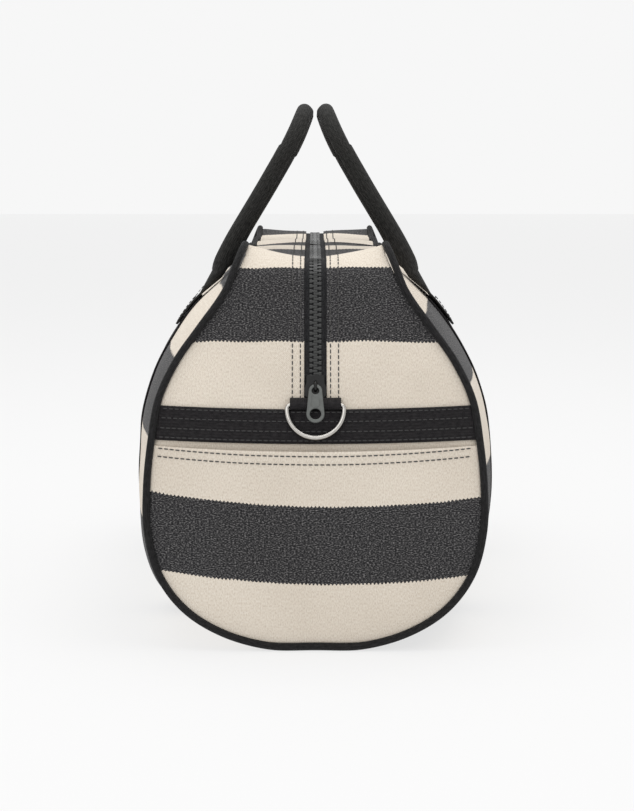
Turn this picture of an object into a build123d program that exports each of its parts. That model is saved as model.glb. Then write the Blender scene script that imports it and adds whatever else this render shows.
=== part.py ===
from build123d import *
import os
from math import cos, degrees, pi, radians, sin, tan

os.makedirs("parts", exist_ok=True)

# A soft travel bag: +Z up, the long axis along Y, floor at z = 0. Millimetres.

# Body
TOP_Z = 292.0            # upper face of the top gusset
END_Y = 247.0            # outer face of an end panel
MID_Y = 140.0            # half length of the straight middle of the body
SEAM_X = 52.0            # half distance between the two long top seams
CANVAS = 2.0
LINING = 0.8
# Half outlines of the body as (x, z) from the flat underside up to the top seam.
# The two lists pair up point by point; an end is narrower than the bulging middle.
END_OUTLINE = [(34, 5), (67, 14), (95, 31), (114, 56), (123, 88), (123.5, 121),
               (120, 153), (114, 184), (100, 212), (81, 237), (63.5, 261), (52, 292)]
MID_OUTLINE = [(70, 1.6), (102, 10), (126, 31), (137, 62), (140.5, 94), (141, 127),
               (138.5, 159), (130, 190), (116, 219.5), (98, 246.5), (76, 269), (52, 292)]

# Ends: upright up to LEAN_Z, then leaning back to a rounded crest
LEAN_Z = 152.0
LEAN_DEG = 11.3
CREST_R = 27.0
PANEL_TOP_Z = 165.0      # seam of end panel and gusset, hidden behind the band
FLAP_Y = 192.0           # half length of the part of the top gusset that opens
GAP = 0.5                # clearance round the moving flaps
HINGE_X = 48.3           # fold line of a flap

# Piping
PIPING_R = 2.75
PIPING_OUT = 2.0         # how far the piping's centre stands out of the seam corner, each way

# Zip
ZIP_GAP_X = 8.4          # half width of the zip left open between the gusset edges
TAPE_T = 0.8
TAPE_X = 16.0            # half width of the two tapes together
CHAIN_X = 4.45           # half width of the chain of teeth
SPINE_X = 3.2            # inner edge of the beaded strip that the teeth grow from
TOOTH_REACH = 1.6        # how far a meshed tooth passes the middle
TOOTH_PITCH = 4.0
TOOTH_W = 1.6
TOOTH_T = 2.6
POST_SLOT_X = 0.9        # the end teeth stop here so that the slider's post can pass
TEETH_START = 30.0       # along the leaning end, from LEAN_Z

# Slider and puller
SLIDER_POS = 42.5        # along the leaning end, from LEAN_Z
SLIDER_LEN = 16.0
SLIDER_CLEAR = 0.4
PLATE_T = 1.5
FLANGE_X = 6.2
SLIDER_NOSE_X = 7.6
POST_LEN = 4.0
POST_FIT = 0.3
LUG_HALF_W = 1.5         # lug on the slider that the puller hangs in
LUG_HALF_LEN = 3.2
LUG_RISE = 2.4           # top of the lug above the hinge line
LUG_HOLE = (1.5, 1.3)    # half length and half height of the hole through the lug
PULL_HINGE = 3.0         # hinge height above the slider's face
PULL_T = 1.6
PULL_LEN = 28.0          # from the hinge line to the foot
PULL_HEAD_R = 4.6
PULL_EYE_R = 3.2
PULL_FOOT_R = 6.3
PULL_HOLE_R = 4.6
PULL_REST_DEG = 25.0

# Webbing and rings
WEB_W = 38.0
WEB_T = 1.6
BAND_W = 25.4
TAB_T = 1.0
TAB_END = 33.9
RING_POS = 28.3          # ring axis along the leaning end, from LEAN_Z
RING_WIRE_R = 1.85
RING_W = 46.0
RING_DROP = 24.0
RING_CORNER_R = 2.6
RING_FIT = 0.3
RING_REST_DEG = 17.0

# Slip pocket
POCKET_TOP_Z = 151.0
POCKET_DEPTH = 9.0
POCKET_T = 1.2
SEAM_INSET = 1.0         # band and pocket stop this far inside the seam
POCKET_RIM = 26.0        # width of the sloping rim that lifts the pocket off the end panel

# Straps and handles
STRAP_Y = 115.0
STRAP_TOP_Z = 262.0
HANDLE_END_Z = (240.0, 266.0)
HANDLE_R = 6.5
CORE_R = 3.5
HANDLE_LEAN_DEG = 26.0
HANDLE_BASE = (80.5, 270.0)
HANDLE_UP = 150.0
HANDLE_BEND_R = 40.0
LUG_T = 3.0
LUG_W = 32.0
LUG_LEN = 20.0
LUG_OVERLAP = 6.0

BEYOND = 170.0           # clear of the whole bag on either side of its middle
OPEN_Z = TOP_Z + 20      # clear of the bag above, so that skins come out open at the top

LEAN = radians(LEAN_DEG)
ZIP_DEPTH = CANVAS + TAPE_T / 2     # depth of the tapes' middle below the gusset face


def moved_in(points, inset):
    """The half outline with every point moved inwards along its normal."""
    placed = []
    last = len(points) - 1
    for i, (x, z) in enumerate(points):
        ax, az = points[max(i - 1, 0)]
        bx, bz = points[min(i + 1, last)]
        if i == 0:
            ax, az = x - 1, z
            bx, bz = x + 1, z
        length = ((bx - ax) ** 2 + (bz - az) ** 2) ** 0.5
        placed.append((x - inset * (bz - az) / length, z + inset * (bx - ax) / length))
    return placed


def flank(points, y, side):
    """One side of a cross-section as a curve from the underside to the top seam."""
    at = [Vector(side * x, y, z) for x, z in points]
    steps = [i / (len(at) - 1) for i in range(len(at))]
    return Edge.make_spline(at, parameters=steps)


def cross_section(points, inset, y, top_z):
    """Closed cross-section of the body at y, open upwards as far as top_z."""
    inner = moved_in(points, inset)
    right = flank(inner, y, 1)
    left = flank(inner, y, -1)
    foot = Edge.make_line(left @ 0, right @ 0)
    up_right = Vector((right @ 1).X, y, top_z)
    up_left = Vector((left @ 1).X, y, top_z)
    rises = []
    if top_z - (right @ 1).Z > 0.01:
        rises = [Edge.make_line(right @ 1, up_right), Edge.make_line(up_left, left @ 1)]
    lid = Edge.make_line(up_right, up_left)
    return Wire([foot, right, lid, left] + rises)


def body_solid(inset, top_z=TOP_Z):
    """The body's full volume: a straight middle and two narrowing ends."""
    middle = extrude(Face(cross_section(MID_OUTLINE, inset, -MID_Y, top_z)), 2 * MID_Y, dir=(0, 1, 0))
    whole = middle
    for side in (-1, 1):
        inner = cross_section(MID_OUTLINE, inset, side * MID_Y, top_z)
        outer = cross_section(END_OUTLINE, inset, side * END_Y, top_z)
        whole += Solid.make_loft([inner, outer], ruled=True)
    return whole


def side_prism(inset):
    """The body's side view, moved in by inset and drawn out across the whole width."""
    bend_z = LEAN_Z - inset * tan(LEAN / 2)
    top = TOP_Z - inset
    crest_y = END_Y - inset - (top - bend_z) * tan(LEAN)
    foot_y = END_Y - inset
    corners = [(-foot_y, -10), (-foot_y, bend_z), (-crest_y, top),
               (crest_y, top), (foot_y, bend_z), (foot_y, -10)]
    face = make_face(Polyline(*corners, close=True))
    crests = face.vertices().sort_by(Axis.Y)[-2:]
    rounded = fillet(crests, CREST_R - inset)
    return extrude(Plane.YZ * rounded, BEYOND, both=True)


def end_depth(z):
    """How far the leaning end lies behind the upright end face at height z."""
    crest_y = (TOP_Z - LEAN_Z) * tan(LEAN)
    reach = CREST_R * tan((pi / 2 - LEAN) / 2)
    arc_z = TOP_Z - reach * cos(LEAN)
    if z <= LEAN_Z:
        return 0.0
    if z <= arc_z:
        return (z - LEAN_Z) * tan(LEAN)
    rise = min(z - (TOP_Z - CREST_R), CREST_R)
    return crest_y + reach - (CREST_R ** 2 - rise ** 2) ** 0.5


def box_between(low, high):
    """A box given by two opposite corners."""
    size = [b - a for a, b in zip(low, high)]
    middle = [(a + b) / 2 for a, b in zip(low, high)]
    return Pos(*middle) * Box(*size)


def layer(outside, inside, low, high):
    """The part of a skin round the ends and top that lies in a box, trimmed to the body."""
    return (side_prism(outside) - side_prism(inside)) & BODY & box_between(low, high)


def on_end(x, along, out):
    """A point on the near end: along its slope from LEAN_Z and out from its face."""
    y = -END_Y + along * sin(LEAN) - out * cos(LEAN)
    z = LEAN_Z + along * cos(LEAN) + out * sin(LEAN)
    return Vector(x, y, z)


def slope_box(x_range, along_range, out_range):
    """A box squared up with the leaning near end."""
    middle = on_end(*[(a + b) / 2 for a, b in (x_range, along_range, out_range)])
    sizes = [b - a for a, b in (x_range, out_range, along_range)]
    return Pos(middle) * Rot(X=-LEAN_DEG) * Box(*sizes)


def slope_plane(x):
    """A plane across the near end: its first axis points up the slope, its second outwards."""
    return Plane(origin=on_end(x, 0, 0), x_dir=on_end(0, 1, 0) - on_end(0, 0, 0), z_dir=(1, 0, 0))


def far(shape):
    """The same piece at the far end."""
    return mirror(shape, about=Plane.XZ)


def other_side(shape):
    """The same piece on the right-hand side."""
    return mirror(shape, about=Plane.YZ)


def seam_path():
    """Right half of the near piping's middle line: from under the end up and along the top seam."""
    end_curve = flank(moved_in(END_OUTLINE, -PIPING_OUT), 0, 1)
    mid_curve = flank(moved_in(MID_OUTLINE, -PIPING_OUT), 0, 1)
    points = []
    steps = 11
    for i in range(steps):
        part = 0.0
        for _ in range(8):
            at = (end_curve @ (i / steps)) * (1 - part) + (mid_curve @ (i / steps)) * part
            part = end_depth(at.Z) / (END_Y - MID_Y)
        points.append(Vector(at.X, -END_Y + end_depth(at.Z) - PIPING_OUT, at.Z))
    crest_y = -END_Y + end_depth(TOP_Z)
    points.append(Vector(SEAM_X + PIPING_OUT, crest_y, TOP_Z + PIPING_OUT))
    side = Edge.make_spline(points, tangents=[(1, 0, 0), (0, 1, 0)])
    top = Edge.make_line(points[-1], (points[-1].X, 0, points[-1].Z))
    foot = Edge.make_line((0, points[0].Y, points[0].Z), points[0])
    return Wire([foot, side, top])


def round_bar(path, radius):
    """A round bar along a wire."""
    start = Plane(origin=path @ 0, z_dir=path % 0)
    return sweep(start * Circle(radius), path=path)


BODY = body_solid(0, OPEN_Z)
SEAM = seam_path()


def body_wrap():
    """One panel of canvas: down one side, under the bag and up the other side."""
    return (BODY - body_solid(CANVAS, OPEN_Z)) & side_prism(CANVAS)


def lining():
    """Thin lining against the canvas, open at the mouth and behind the zip."""
    outside = body_solid(CANVAS, OPEN_Z) & side_prism(CANVAS)
    inside = body_solid(CANVAS + LINING, OPEN_Z) & side_prism(CANVAS + LINING)
    bag = outside - inside
    bag -= box_between((-SEAM_X, -FLAP_Y - GAP, TOP_Z - 8), (SEAM_X, FLAP_Y + GAP, TOP_Z + 1))
    zip_x = TAPE_X + 1
    return bag - box_between((-zip_x, -END_Y, PANEL_TOP_Z), (zip_x, END_Y, TOP_Z + 1))


def end_panel():
    """The lower end panel, behind the slip pocket."""
    return layer(0, CANVAS, (-BEYOND, -END_Y - 1, -5), (BEYOND, 0, PANEL_TOP_Z))


def end_gusset():
    """Left half of the gusset on the near end, up to the crest."""
    low = (-BEYOND, -END_Y - 1, PANEL_TOP_Z)
    high = (-ZIP_GAP_X, -FLAP_Y - GAP, TOP_Z + 1)
    return layer(0, CANVAS, low, high)


def top_flap():
    """Left half of the top gusset; it folds along the top seam to open the mouth."""
    return box_between((-HINGE_X, -FLAP_Y, TOP_Z - CANVAS), (-ZIP_GAP_X, FLAP_Y, TOP_Z))


def end_tape():
    """Left zip tape on the near end, sewn under the gusset edge."""
    low = (-TAPE_X, -END_Y, PANEL_TOP_Z + 1)
    high = (-CHAIN_X, -FLAP_Y - GAP, TOP_Z)
    return layer(CANVAS, CANVAS + TAPE_T, low, high)


def top_tape():
    """Left zip tape along the top."""
    low = (-TAPE_X, -FLAP_Y, TOP_Z - CANVAS - TAPE_T)
    return box_between(low, (-CHAIN_X, FLAP_Y, TOP_Z - CANVAS))


def zip_place(travel):
    """Position and tilt of the zip after travelling up the near end from LEAN_Z and over the crest."""
    reach = CREST_R * tan((pi / 2 - LEAN) / 2)
    straight = (TOP_Z - LEAN_Z) / cos(LEAN) - reach
    radius = CREST_R - ZIP_DEPTH
    if travel <= straight:
        return on_end(0, travel, -ZIP_DEPTH), LEAN
    angle = min((travel - straight) / radius, pi / 2 - LEAN)
    middle = on_end(0, straight, -CREST_R)
    tilt = LEAN + angle
    over = travel - straight - angle * radius
    return middle + Vector(0, -radius * cos(tilt) + over, radius * sin(tilt)), tilt


def end_teeth():
    """Left teeth on the near end, growing from a beaded strip on the tape's edge."""
    depth = ZIP_DEPTH - TOOTH_T / 2
    start_z = zip_place(TEETH_START)[0].Z
    low = (-CHAIN_X, -END_Y, start_z)
    strip = layer(depth, depth + TOOTH_T, low, (-SPINE_X, -FLAP_Y - GAP, TOP_Z))
    width = SPINE_X - POST_SLOT_X
    travel = TEETH_START + TOOTH_PITCH
    at, tilt = zip_place(travel)
    while at.Y < -FLAP_Y - GAP - TOOTH_PITCH:
        tooth = Box(width + 0.4, TOOTH_T - 0.1, TOOTH_W)
        strip += Pos(-POST_SLOT_X - (width + 0.4) / 2, at.Y, at.Z) * Rot(X=-degrees(tilt)) * tooth
        travel += TOOTH_PITCH
        at, tilt = zip_place(travel)
    return strip


def top_teeth(side):
    """Teeth along the top on one side; the two sides mesh half a pitch apart."""
    middle_z = TOP_Z - ZIP_DEPTH
    shift = 0 if side < 0 else TOOTH_PITCH / 2
    count = int((FLAP_Y - TOOTH_PITCH) / TOOTH_PITCH)
    outline = [(side * CHAIN_X, -FLAP_Y), (side * SPINE_X, -FLAP_Y)]
    for i in range(-count, count + 1):
        low = i * TOOTH_PITCH + shift - TOOTH_W / 2
        tip = -side * TOOTH_REACH
        outline += [(side * SPINE_X, low), (tip, low),
                    (tip, low + TOOTH_W), (side * SPINE_X, low + TOOTH_W)]
    outline += [(side * SPINE_X, FLAP_Y), (side * CHAIN_X, FLAP_Y)]
    face = make_face(Polyline(*outline, close=True))
    return Pos(0, 0, middle_z - TOOTH_T / 2) * extrude(face, TOOTH_T, dir=(0, 0, 1))


def zip_slider():
    """Slider body: two plates with flanges round the chain, a post between them and a lug."""
    middle = -ZIP_DEPTH
    inner = TOOTH_T / 2 + SLIDER_CLEAR
    slot = TAPE_T / 2 + SLIDER_CLEAR
    rear = SLIDER_POS + SLIDER_LEN / 2
    front = SLIDER_POS - SLIDER_LEN / 2
    shoulder = SLIDER_POS - 1
    plan = [(-FLANGE_X, rear), (FLANGE_X, rear), (FLANGE_X, shoulder + 4), (SLIDER_NOSE_X, shoulder),
            (SLIDER_NOSE_X, front), (-SLIDER_NOSE_X, front), (-SLIDER_NOSE_X, shoulder),
            (-FLANGE_X, shoulder + 4)]
    across = Plane(origin=on_end(0, 0, middle - inner - PLATE_T), x_dir=(1, 0, 0),
                   z_dir=on_end(0, 0, 1) - on_end(0, 0, 0))
    block = extrude(across * make_face(Polyline(*plan, close=True)), 2 * (inner + PLATE_T))
    wide = SLIDER_NOSE_X + 1
    block -= slope_box((-wide, wide), (front - 1, rear + 1), (middle - slot, middle + slot))
    bay = CHAIN_X + SLIDER_CLEAR
    block -= slope_box((-bay, bay), (front - 1, rear + 1), (middle - inner, middle + inner))
    post = POST_SLOT_X - POST_FIT
    post_start = front + PLATE_T
    block += slope_box((-post, post), (post_start, post_start + POST_LEN), (middle - inner, middle + inner))
    return block + slider_lug(middle + inner + PLATE_T)


def slider_lug(face_out):
    """Arched lug on the slider's face with the hole that holds the puller's bar."""
    hinge = face_out + PULL_HINGE
    along = (SLIDER_POS - LUG_HALF_LEN, SLIDER_POS + LUG_HALF_LEN)
    lug = slope_box((-LUG_HALF_W, LUG_HALF_W), along, (face_out - PLATE_T / 2, hinge + LUG_RISE))
    half_len, half_high = LUG_HOLE
    hole_along = (SLIDER_POS - half_len, SLIDER_POS + half_len)
    return lug - slope_box((-BEYOND, BEYOND), hole_along, (hinge - half_high, hinge + half_high))


def pull_axis():
    """Where the puller's bar runs."""
    return on_end(0, SLIDER_POS, -ZIP_DEPTH + TOOTH_T / 2 + SLIDER_CLEAR + PLATE_T + PULL_HINGE)


def zip_puller():
    """Flat puller, narrower at its head, with a round eye at the head and a round hole at its foot."""
    head_y = -(PULL_HEAD_R + PULL_EYE_R) / 2
    foot_y = -PULL_LEN + PULL_FOOT_R
    slant = (PULL_FOOT_R - PULL_HEAD_R) / (head_y - foot_y)
    across = (1 - slant ** 2) ** 0.5
    head = (PULL_HEAD_R * across, head_y + PULL_HEAD_R * slant)
    foot = (PULL_FOOT_R * across, foot_y + PULL_FOOT_R * slant)
    shank = Polyline(head, foot, (-foot[0], foot[1]), (-head[0], head[1]), close=True)
    face = make_face(shank) + Pos(0, head_y) * Circle(PULL_HEAD_R) + Pos(0, foot_y) * Circle(PULL_FOOT_R)
    face -= Pos(0, head_y) * Circle(PULL_EYE_R)
    face -= Pos(0, foot_y) * Circle(PULL_HOLE_R)
    return Pos(pull_axis()) * Rot(X=-PULL_REST_DEG) * extrude(Plane.XZ * face, PULL_T / 2, both=True)


def ring_axis():
    """Where the ring's straight bar runs inside the tab."""
    return on_end(0, RING_POS, TAB_T + RING_FIT + RING_WIRE_R)


def ring_tab():
    """Folded webbing tab that holds the ring's bar."""
    loop_r = RING_WIRE_R + RING_FIT + TAB_T
    along = RING_POS
    loop = Pos(along, loop_r) * Circle(loop_r)
    tail = [(along, 0), (TAB_END, 0), (TAB_END, 2 * TAB_T), (along + 1.5, 2 * loop_r - 0.4), (along, loop_r)]
    loop += make_face(Polyline(*tail, close=True))
    loop -= Pos(along, loop_r) * Circle(RING_WIRE_R + RING_FIT)
    return extrude(slope_plane(-WEB_W / 2) * loop, WEB_W)


def d_ring():
    """D-shaped wire ring with its straight bar in the tab."""
    half = RING_W / 2 - RING_WIRE_R
    corner = RING_CORNER_R
    bar = Line((0, 0), (half - corner, 0))
    bend = CenterArc((half - corner, -corner), corner, 0, 90)
    bow_y = half - RING_DROP
    arm = Line((half, -corner), (half, bow_y))
    bow = CenterArc((0, bow_y), half, 0, -90)
    path = Plane.XZ * Wire([bar, bend, arm, bow])
    side = round_bar(path, RING_WIRE_R)
    ring = side + other_side(side)
    return Pos(ring_axis()) * Rot(X=-RING_REST_DEG) * ring


def band():
    """Webbing band across the end over the seam of panel and gusset."""
    slab = slope_box((-BEYOND, BEYOND), (0, BAND_W), (0, WEB_T))
    face = Face(cross_section(END_OUTLINE, SEAM_INSET, -END_Y - 20, TOP_Z))
    return slab & extrude(face, 40, dir=(0, 1, 0))


def pocket_tray(inset, depth):
    """Volume under the pocket panel: the end outline narrowing outwards."""
    seam = cross_section(END_OUTLINE, inset, -END_Y, TOP_Z)
    face = cross_section(END_OUTLINE, inset + POCKET_RIM, -END_Y - depth, TOP_Z)
    return Solid.make_loft([seam, face], ruled=True)


def slip_pocket():
    """Slip pocket panel: sewn in round the U of the end, standing open along its top hem."""
    outer = pocket_tray(SEAM_INSET, POCKET_DEPTH)
    panel = outer - pocket_tray(SEAM_INSET + 1.5 * POCKET_T, POCKET_DEPTH - POCKET_T)
    low = (-BEYOND, -END_Y - POCKET_DEPTH - 1, -5)
    return panel & box_between(low, (BEYOND, -END_Y, POCKET_TOP_Z))


def wrapped_webbing(inside, outside):
    """A belt of webbing round the body's middle, open at the top."""
    outer = extrude(Face(cross_section(MID_OUTLINE, -outside, 0, TOP_Z + 5)), WEB_W / 2, both=True,
                    dir=(0, 1, 0))
    inner = extrude(Face(cross_section(MID_OUTLINE, -inside, 0, OPEN_Z)), WEB_W, both=True,
                    dir=(0, 1, 0))
    return outer - inner


def body_strap():
    """Webbing strap from one handle down the side, under the bag and up to the other handle."""
    belt = wrapped_webbing(0, WEB_T) & box_between((-BEYOND, -WEB_W, -1), (BEYOND, WEB_W, STRAP_TOP_Z))
    return Pos(0, -STRAP_Y) * belt


def handle_end():
    """Sewn-down end of the left handle, lying on the strap."""
    low, high = HANDLE_END_Z
    cap = wrapped_webbing(0, WEB_T) & box_between((-BEYOND, -WEB_W, STRAP_TOP_Z), (0, WEB_W, high))
    belt = wrapped_webbing(WEB_T, 2 * WEB_T) & box_between((-BEYOND, -WEB_W, low), (0, WEB_W, high))
    return Pos(0, -STRAP_Y) * (belt + cap)


def handle_path(start):
    """The left handle's line in its own leaning plane, from one leg's foot round to the other's."""
    bend = HANDLE_BEND_R
    leg = Line((-STRAP_Y, start), (-STRAP_Y, HANDLE_UP - bend))
    turn = CenterArc((-STRAP_Y + bend, HANDLE_UP - bend), bend, 180, -90)
    grip = Line((-STRAP_Y + bend, HANDLE_UP), (0, HANDLE_UP))
    return Plane.YZ * Wire([leg, turn, grip])


def lean_handle(shape):
    """Stand a handle shape on its base, leaning in over the mouth."""
    return Pos(-HANDLE_BASE[0], 0, HANDLE_BASE[1]) * Rot(Y=HANDLE_LEAN_DEG) * shape


def handle():
    """Left handle: webbing rolled into a tube, flat again where it meets the body."""
    tube = round_bar(handle_path(LUG_LEN - LUG_OVERLAP), HANDLE_R)
    lug = Pos(0, -STRAP_Y, LUG_LEN / 2) * Box(LUG_T, LUG_W, LUG_LEN)
    heel = Pos(0, -STRAP_Y, 0) * Rot(X=90) * Cylinder(LUG_T / 2, LUG_W)
    half = tube + lug + heel
    half -= round_bar(handle_path(LUG_LEN), CORE_R)
    return lean_handle(half + far(half))


def handle_core():
    """Cord inside the left handle."""
    half = round_bar(handle_path(LUG_LEN), CORE_R)
    return lean_handle(half + far(half))


def piping():
    """Piping round the near half of the wrap's edge."""
    half = round_bar(SEAM, PIPING_R)
    return half + other_side(half)


def save(name, shape):
    """Write one piece as its own file."""
    export_step(shape, f"parts/{name}.step")


def save_both_ends(name, shape):
    """Write a near piece and its far twin."""
    save(f"{name}_near", shape)
    save(f"{name}_far", far(shape))


def save_four(name, shape):
    """Write a near left piece and its three mirror images."""
    save(f"{name}_near_left", shape)
    save(f"{name}_far_left", far(shape))
    save(f"{name}_near_right", other_side(shape))
    save(f"{name}_far_right", far(other_side(shape)))


def save_both_sides(name, shape):
    """Write a left piece and its right twin."""
    save(f"{name}_left", shape)
    save(f"{name}_right", other_side(shape))


save("body_wrap", body_wrap())
save("lining", lining())
save_both_ends("end_panel", end_panel())
save_both_ends("slip_pocket", slip_pocket())
save_both_ends("end_band", band())
save_both_ends("piping", piping())
save_four("end_gusset", end_gusset())
save_both_sides("top_gusset", top_flap())
save_four("end_zip_tape", end_tape())
save_both_sides("top_zip_tape", top_tape())
save_four("end_zip_teeth", end_teeth())
save("top_zip_teeth_left", top_teeth(-1))
save("top_zip_teeth_right", top_teeth(1))
save("zip_slider", zip_slider())
save("zip_puller", zip_puller())
save_both_ends("ring_tab", ring_tab())
save_both_ends("d_ring", d_ring())
save_both_ends("body_strap", body_strap())
save_four("handle_end", handle_end())
save_both_sides("handle", handle())
save_both_sides("handle_core", handle_core())
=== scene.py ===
import math

import bpy
import numpy as np
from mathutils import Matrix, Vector, noise


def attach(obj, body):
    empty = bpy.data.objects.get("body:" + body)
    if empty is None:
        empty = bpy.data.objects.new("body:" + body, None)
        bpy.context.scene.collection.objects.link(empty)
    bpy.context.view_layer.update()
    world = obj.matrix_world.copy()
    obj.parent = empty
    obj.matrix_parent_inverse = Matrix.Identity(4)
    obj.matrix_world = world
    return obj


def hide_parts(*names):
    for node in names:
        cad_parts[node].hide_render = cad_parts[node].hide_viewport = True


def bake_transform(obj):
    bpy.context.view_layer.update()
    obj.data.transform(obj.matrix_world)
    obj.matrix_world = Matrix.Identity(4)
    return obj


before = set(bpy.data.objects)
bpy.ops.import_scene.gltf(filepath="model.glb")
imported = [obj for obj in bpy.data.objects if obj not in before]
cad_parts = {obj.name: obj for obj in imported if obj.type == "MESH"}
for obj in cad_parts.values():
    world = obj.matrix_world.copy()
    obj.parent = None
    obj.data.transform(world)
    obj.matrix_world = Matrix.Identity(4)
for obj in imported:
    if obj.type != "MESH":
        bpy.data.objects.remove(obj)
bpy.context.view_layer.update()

MM = 0.001

# Body, in millimetres: half outlines (x, z) from the middle of the underside to the top seam
SEAM_LINE = [(0, 4.5), (34, 5), (67, 14), (95, 31), (114, 56), (122.5, 88), (123, 121),
             (120, 153), (115, 184), (102.2, 212), (84.7, 237), (67.6, 261), (52, 291)]
MID_LINE = [(0, 1.5), (70, 1.6), (102, 10), (126, 31), (137, 62), (140.5, 94), (141, 127),
            (138.5, 159), (130, 190), (116, 219.5), (98, 246.5), (76, 269), (52, 291)]
END_Y = 247.0
TOP_Z = 292.0
LEAN_Z = 152.0
LEAN = math.radians(11.3)
CREST_R = 27.0
BULGE_POWER = 4.0
HALF_GIRTH = 455.0           # length of the body panel from the underside's middle to a top seam
BODY_CENTRE = np.array([0, 0, 140.0])
SEAM_TOP_X = 52.0
SEAM_TOP_Z = 291.0
HALF_WIDTH = 115.0           # about half the width of the end at the band and the pocket's hem

# Stripes
WRAP_STRIPE = 63.7
WRAP_FIRST_STRIPE = 32.0
GUSSET_STRIPE = 57.0
GUSSET_FIRST_STRIPE = 75.5
POCKET_STRIPE_Z = (107.0, 50.0)
POCKET_TOP_Z = 147.3

# Zip
ZIP_GAP_X = 8.4
TAPE_X = 16.0
TAPE_DEPTH = 2.4
TOOTH_PITCH = 4.0
TEETH_START = 34.0
TOPSTITCH_X = (11.2, 17.2)

# Slider and puller
SLIDER_POS = 42.5
PULL_AXIS_OUT = 3.8
PULL_REST_DEG = 25.0
PULL_HEAD_R = 4.6
PULL_FOOT_R = 6.3
PULL_HEAD_Y = -3.9
PULL_FOOT_Y = -21.7
PULL_EYE_R = 3.2
PULL_HOLE_R = 4.6
PLATE_OUT = 2.3              # middle of a slider plate from the zip's middle
PLATE_T = 1.5
LUG_HALF_LEN = 3.2

# Trim
PIPING_R = 2.75
PIPING_OUT = 2.0
BAND_W = 25.4
WEB_HALF = 19.0
STRAP_Y = 115.0
HANDLE_R = 6.4
HANDLE_BEND_R = 36.0
HANDLE_START_V = 0.782       # where the handle's sewn end starts and stops on the body panel
HANDLE_STOP_V = 0.862
LEG_LEN = 151.0
# A handle's leg as (x, z) from the body panel up to the grip
LEG = [(80.0, 269.5), (74.5, 283), (66.5, 298.5), (56.5, 315.5), (46.0, 333), (35.5, 351),
       (25.3, 369), (16.0, 387.5), (8.9, 404.3)]
RING_POS = 28.3
RING_OUT = 3.15
TAB_LOOP_R = 3.1

# Heights of the slack top over its flat line, evenly spaced from the near crest to the far one
ZIP_LIFTS = (-3.5, -5.5, 0.0, -4.0, 1.5, -3.0, -2.0, 3.0)


# ---- curves and surfaces of the bag -------------------------------------------------------

def along(points, t):
    """Smooth curve through evenly spaced points; t runs from 0 to 1."""
    p = np.array(points, float)
    p = np.vstack([2 * p[0] - p[1], p, 2 * p[-1] - p[-2]])
    n = len(points) - 1
    t = np.clip(np.asarray(t, float), 0, 1) * n
    i = np.minimum(t.astype(int), n - 1)
    f = (t - i)[..., None]
    a, b, c, d = p[i], p[i + 1], p[i + 2], p[i + 3]
    square = (2 * a - 5 * b + 4 * c - d) * f ** 2
    cube = (3 * b - a - 3 * c + d) * f ** 3
    return 0.5 * (2 * b + (c - a) * f + square + cube)


def smooth_step(x, low, high):
    """0 below low, 1 above high, and smooth between."""
    f = np.clip((np.asarray(x, float) - low) / (high - low), 0, 1)
    return f * f * (3 - 2 * f)


def rough(x, y, z, scale, seed):
    """Smooth noise between about -1 and 1 at each point of three equal arrays."""
    flat = np.stack([np.ravel(x), np.ravel(y), np.ravel(z)], 1) / scale + seed
    values = [noise.noise(Vector(row)) for row in flat]
    return np.array(values).reshape(np.shape(x))


REACH = CREST_R * math.tan((math.pi / 2 - LEAN) / 2)
STRAIGHT = (TOP_Z - LEAN_Z) / math.cos(LEAN) - REACH
CREST_LEN = CREST_R * (math.pi / 2 - LEAN)
CREST_Y = END_Y - (TOP_Z - LEAN_Z) * math.tan(LEAN) - REACH
TOP_TRAVEL = STRAIGHT + CREST_LEN + CREST_Y


def seam_lift(y):
    """Rise and fall of the long top seams: knobs at the corners, slack waves between them."""
    corner = 5.5 * np.exp(-((np.abs(y) - 198) / 13) ** 2)
    waves = 1.5 * np.cos(2 * np.pi * (np.asarray(y) + 190) / 118) - 2.6
    return corner + waves * smooth_step(CREST_Y - np.abs(y), 0, 40)


def zip_lift(y):
    """Humps and hollows of the slack top along the zip."""
    return along([(0, lift) for lift in ZIP_LIFTS], (np.asarray(y) + CREST_Y) / (2 * CREST_Y))[..., 1]


def end_profile(travel):
    """Middle line of an end and the top: y (positive), z, outward y and outward z after travelling
    up the end from LEAN_Z."""
    travel = np.asarray(travel, float)
    angle = LEAN + np.clip((travel - STRAIGHT) / CREST_R, 0, math.pi / 2 - LEAN)
    low = np.minimum(travel, STRAIGHT)
    over = np.maximum(travel - STRAIGHT - CREST_LEN, 0)
    y = END_Y - low * math.sin(LEAN) - CREST_R * (math.cos(LEAN) - np.cos(angle)) - over
    z = LEAN_Z + low * math.cos(LEAN) + CREST_R * (np.sin(angle) - math.sin(LEAN))
    return y, z, np.cos(angle), np.sin(angle)


def zip_profile(end, travel):
    """The same line along the zip, sagging along the top; y has its sign."""
    y, z, ny, nz = end_profile(travel)
    z = z + zip_lift(end * y) * smooth_step(travel, STRAIGHT - 8, STRAIGHT + CREST_LEN)
    return end * y, z, end * ny, nz


def end_depth(z):
    """How far the seam lies behind the end's upright face at height z."""
    z = np.asarray(z, float)
    lean = np.clip(z - LEAN_Z, 0, STRAIGHT * math.cos(LEAN)) * math.tan(LEAN)
    arc_z = LEAN_Z + STRAIGHT * math.cos(LEAN)
    rise = np.clip(z, arc_z, TOP_Z - 0.001) - (TOP_Z - CREST_R)
    arc = (TOP_Z - LEAN_Z) * math.tan(LEAN) + REACH - np.sqrt(np.maximum(CREST_R ** 2 - rise ** 2, 0))
    return np.where(z > arc_z, arc, lean)


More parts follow.
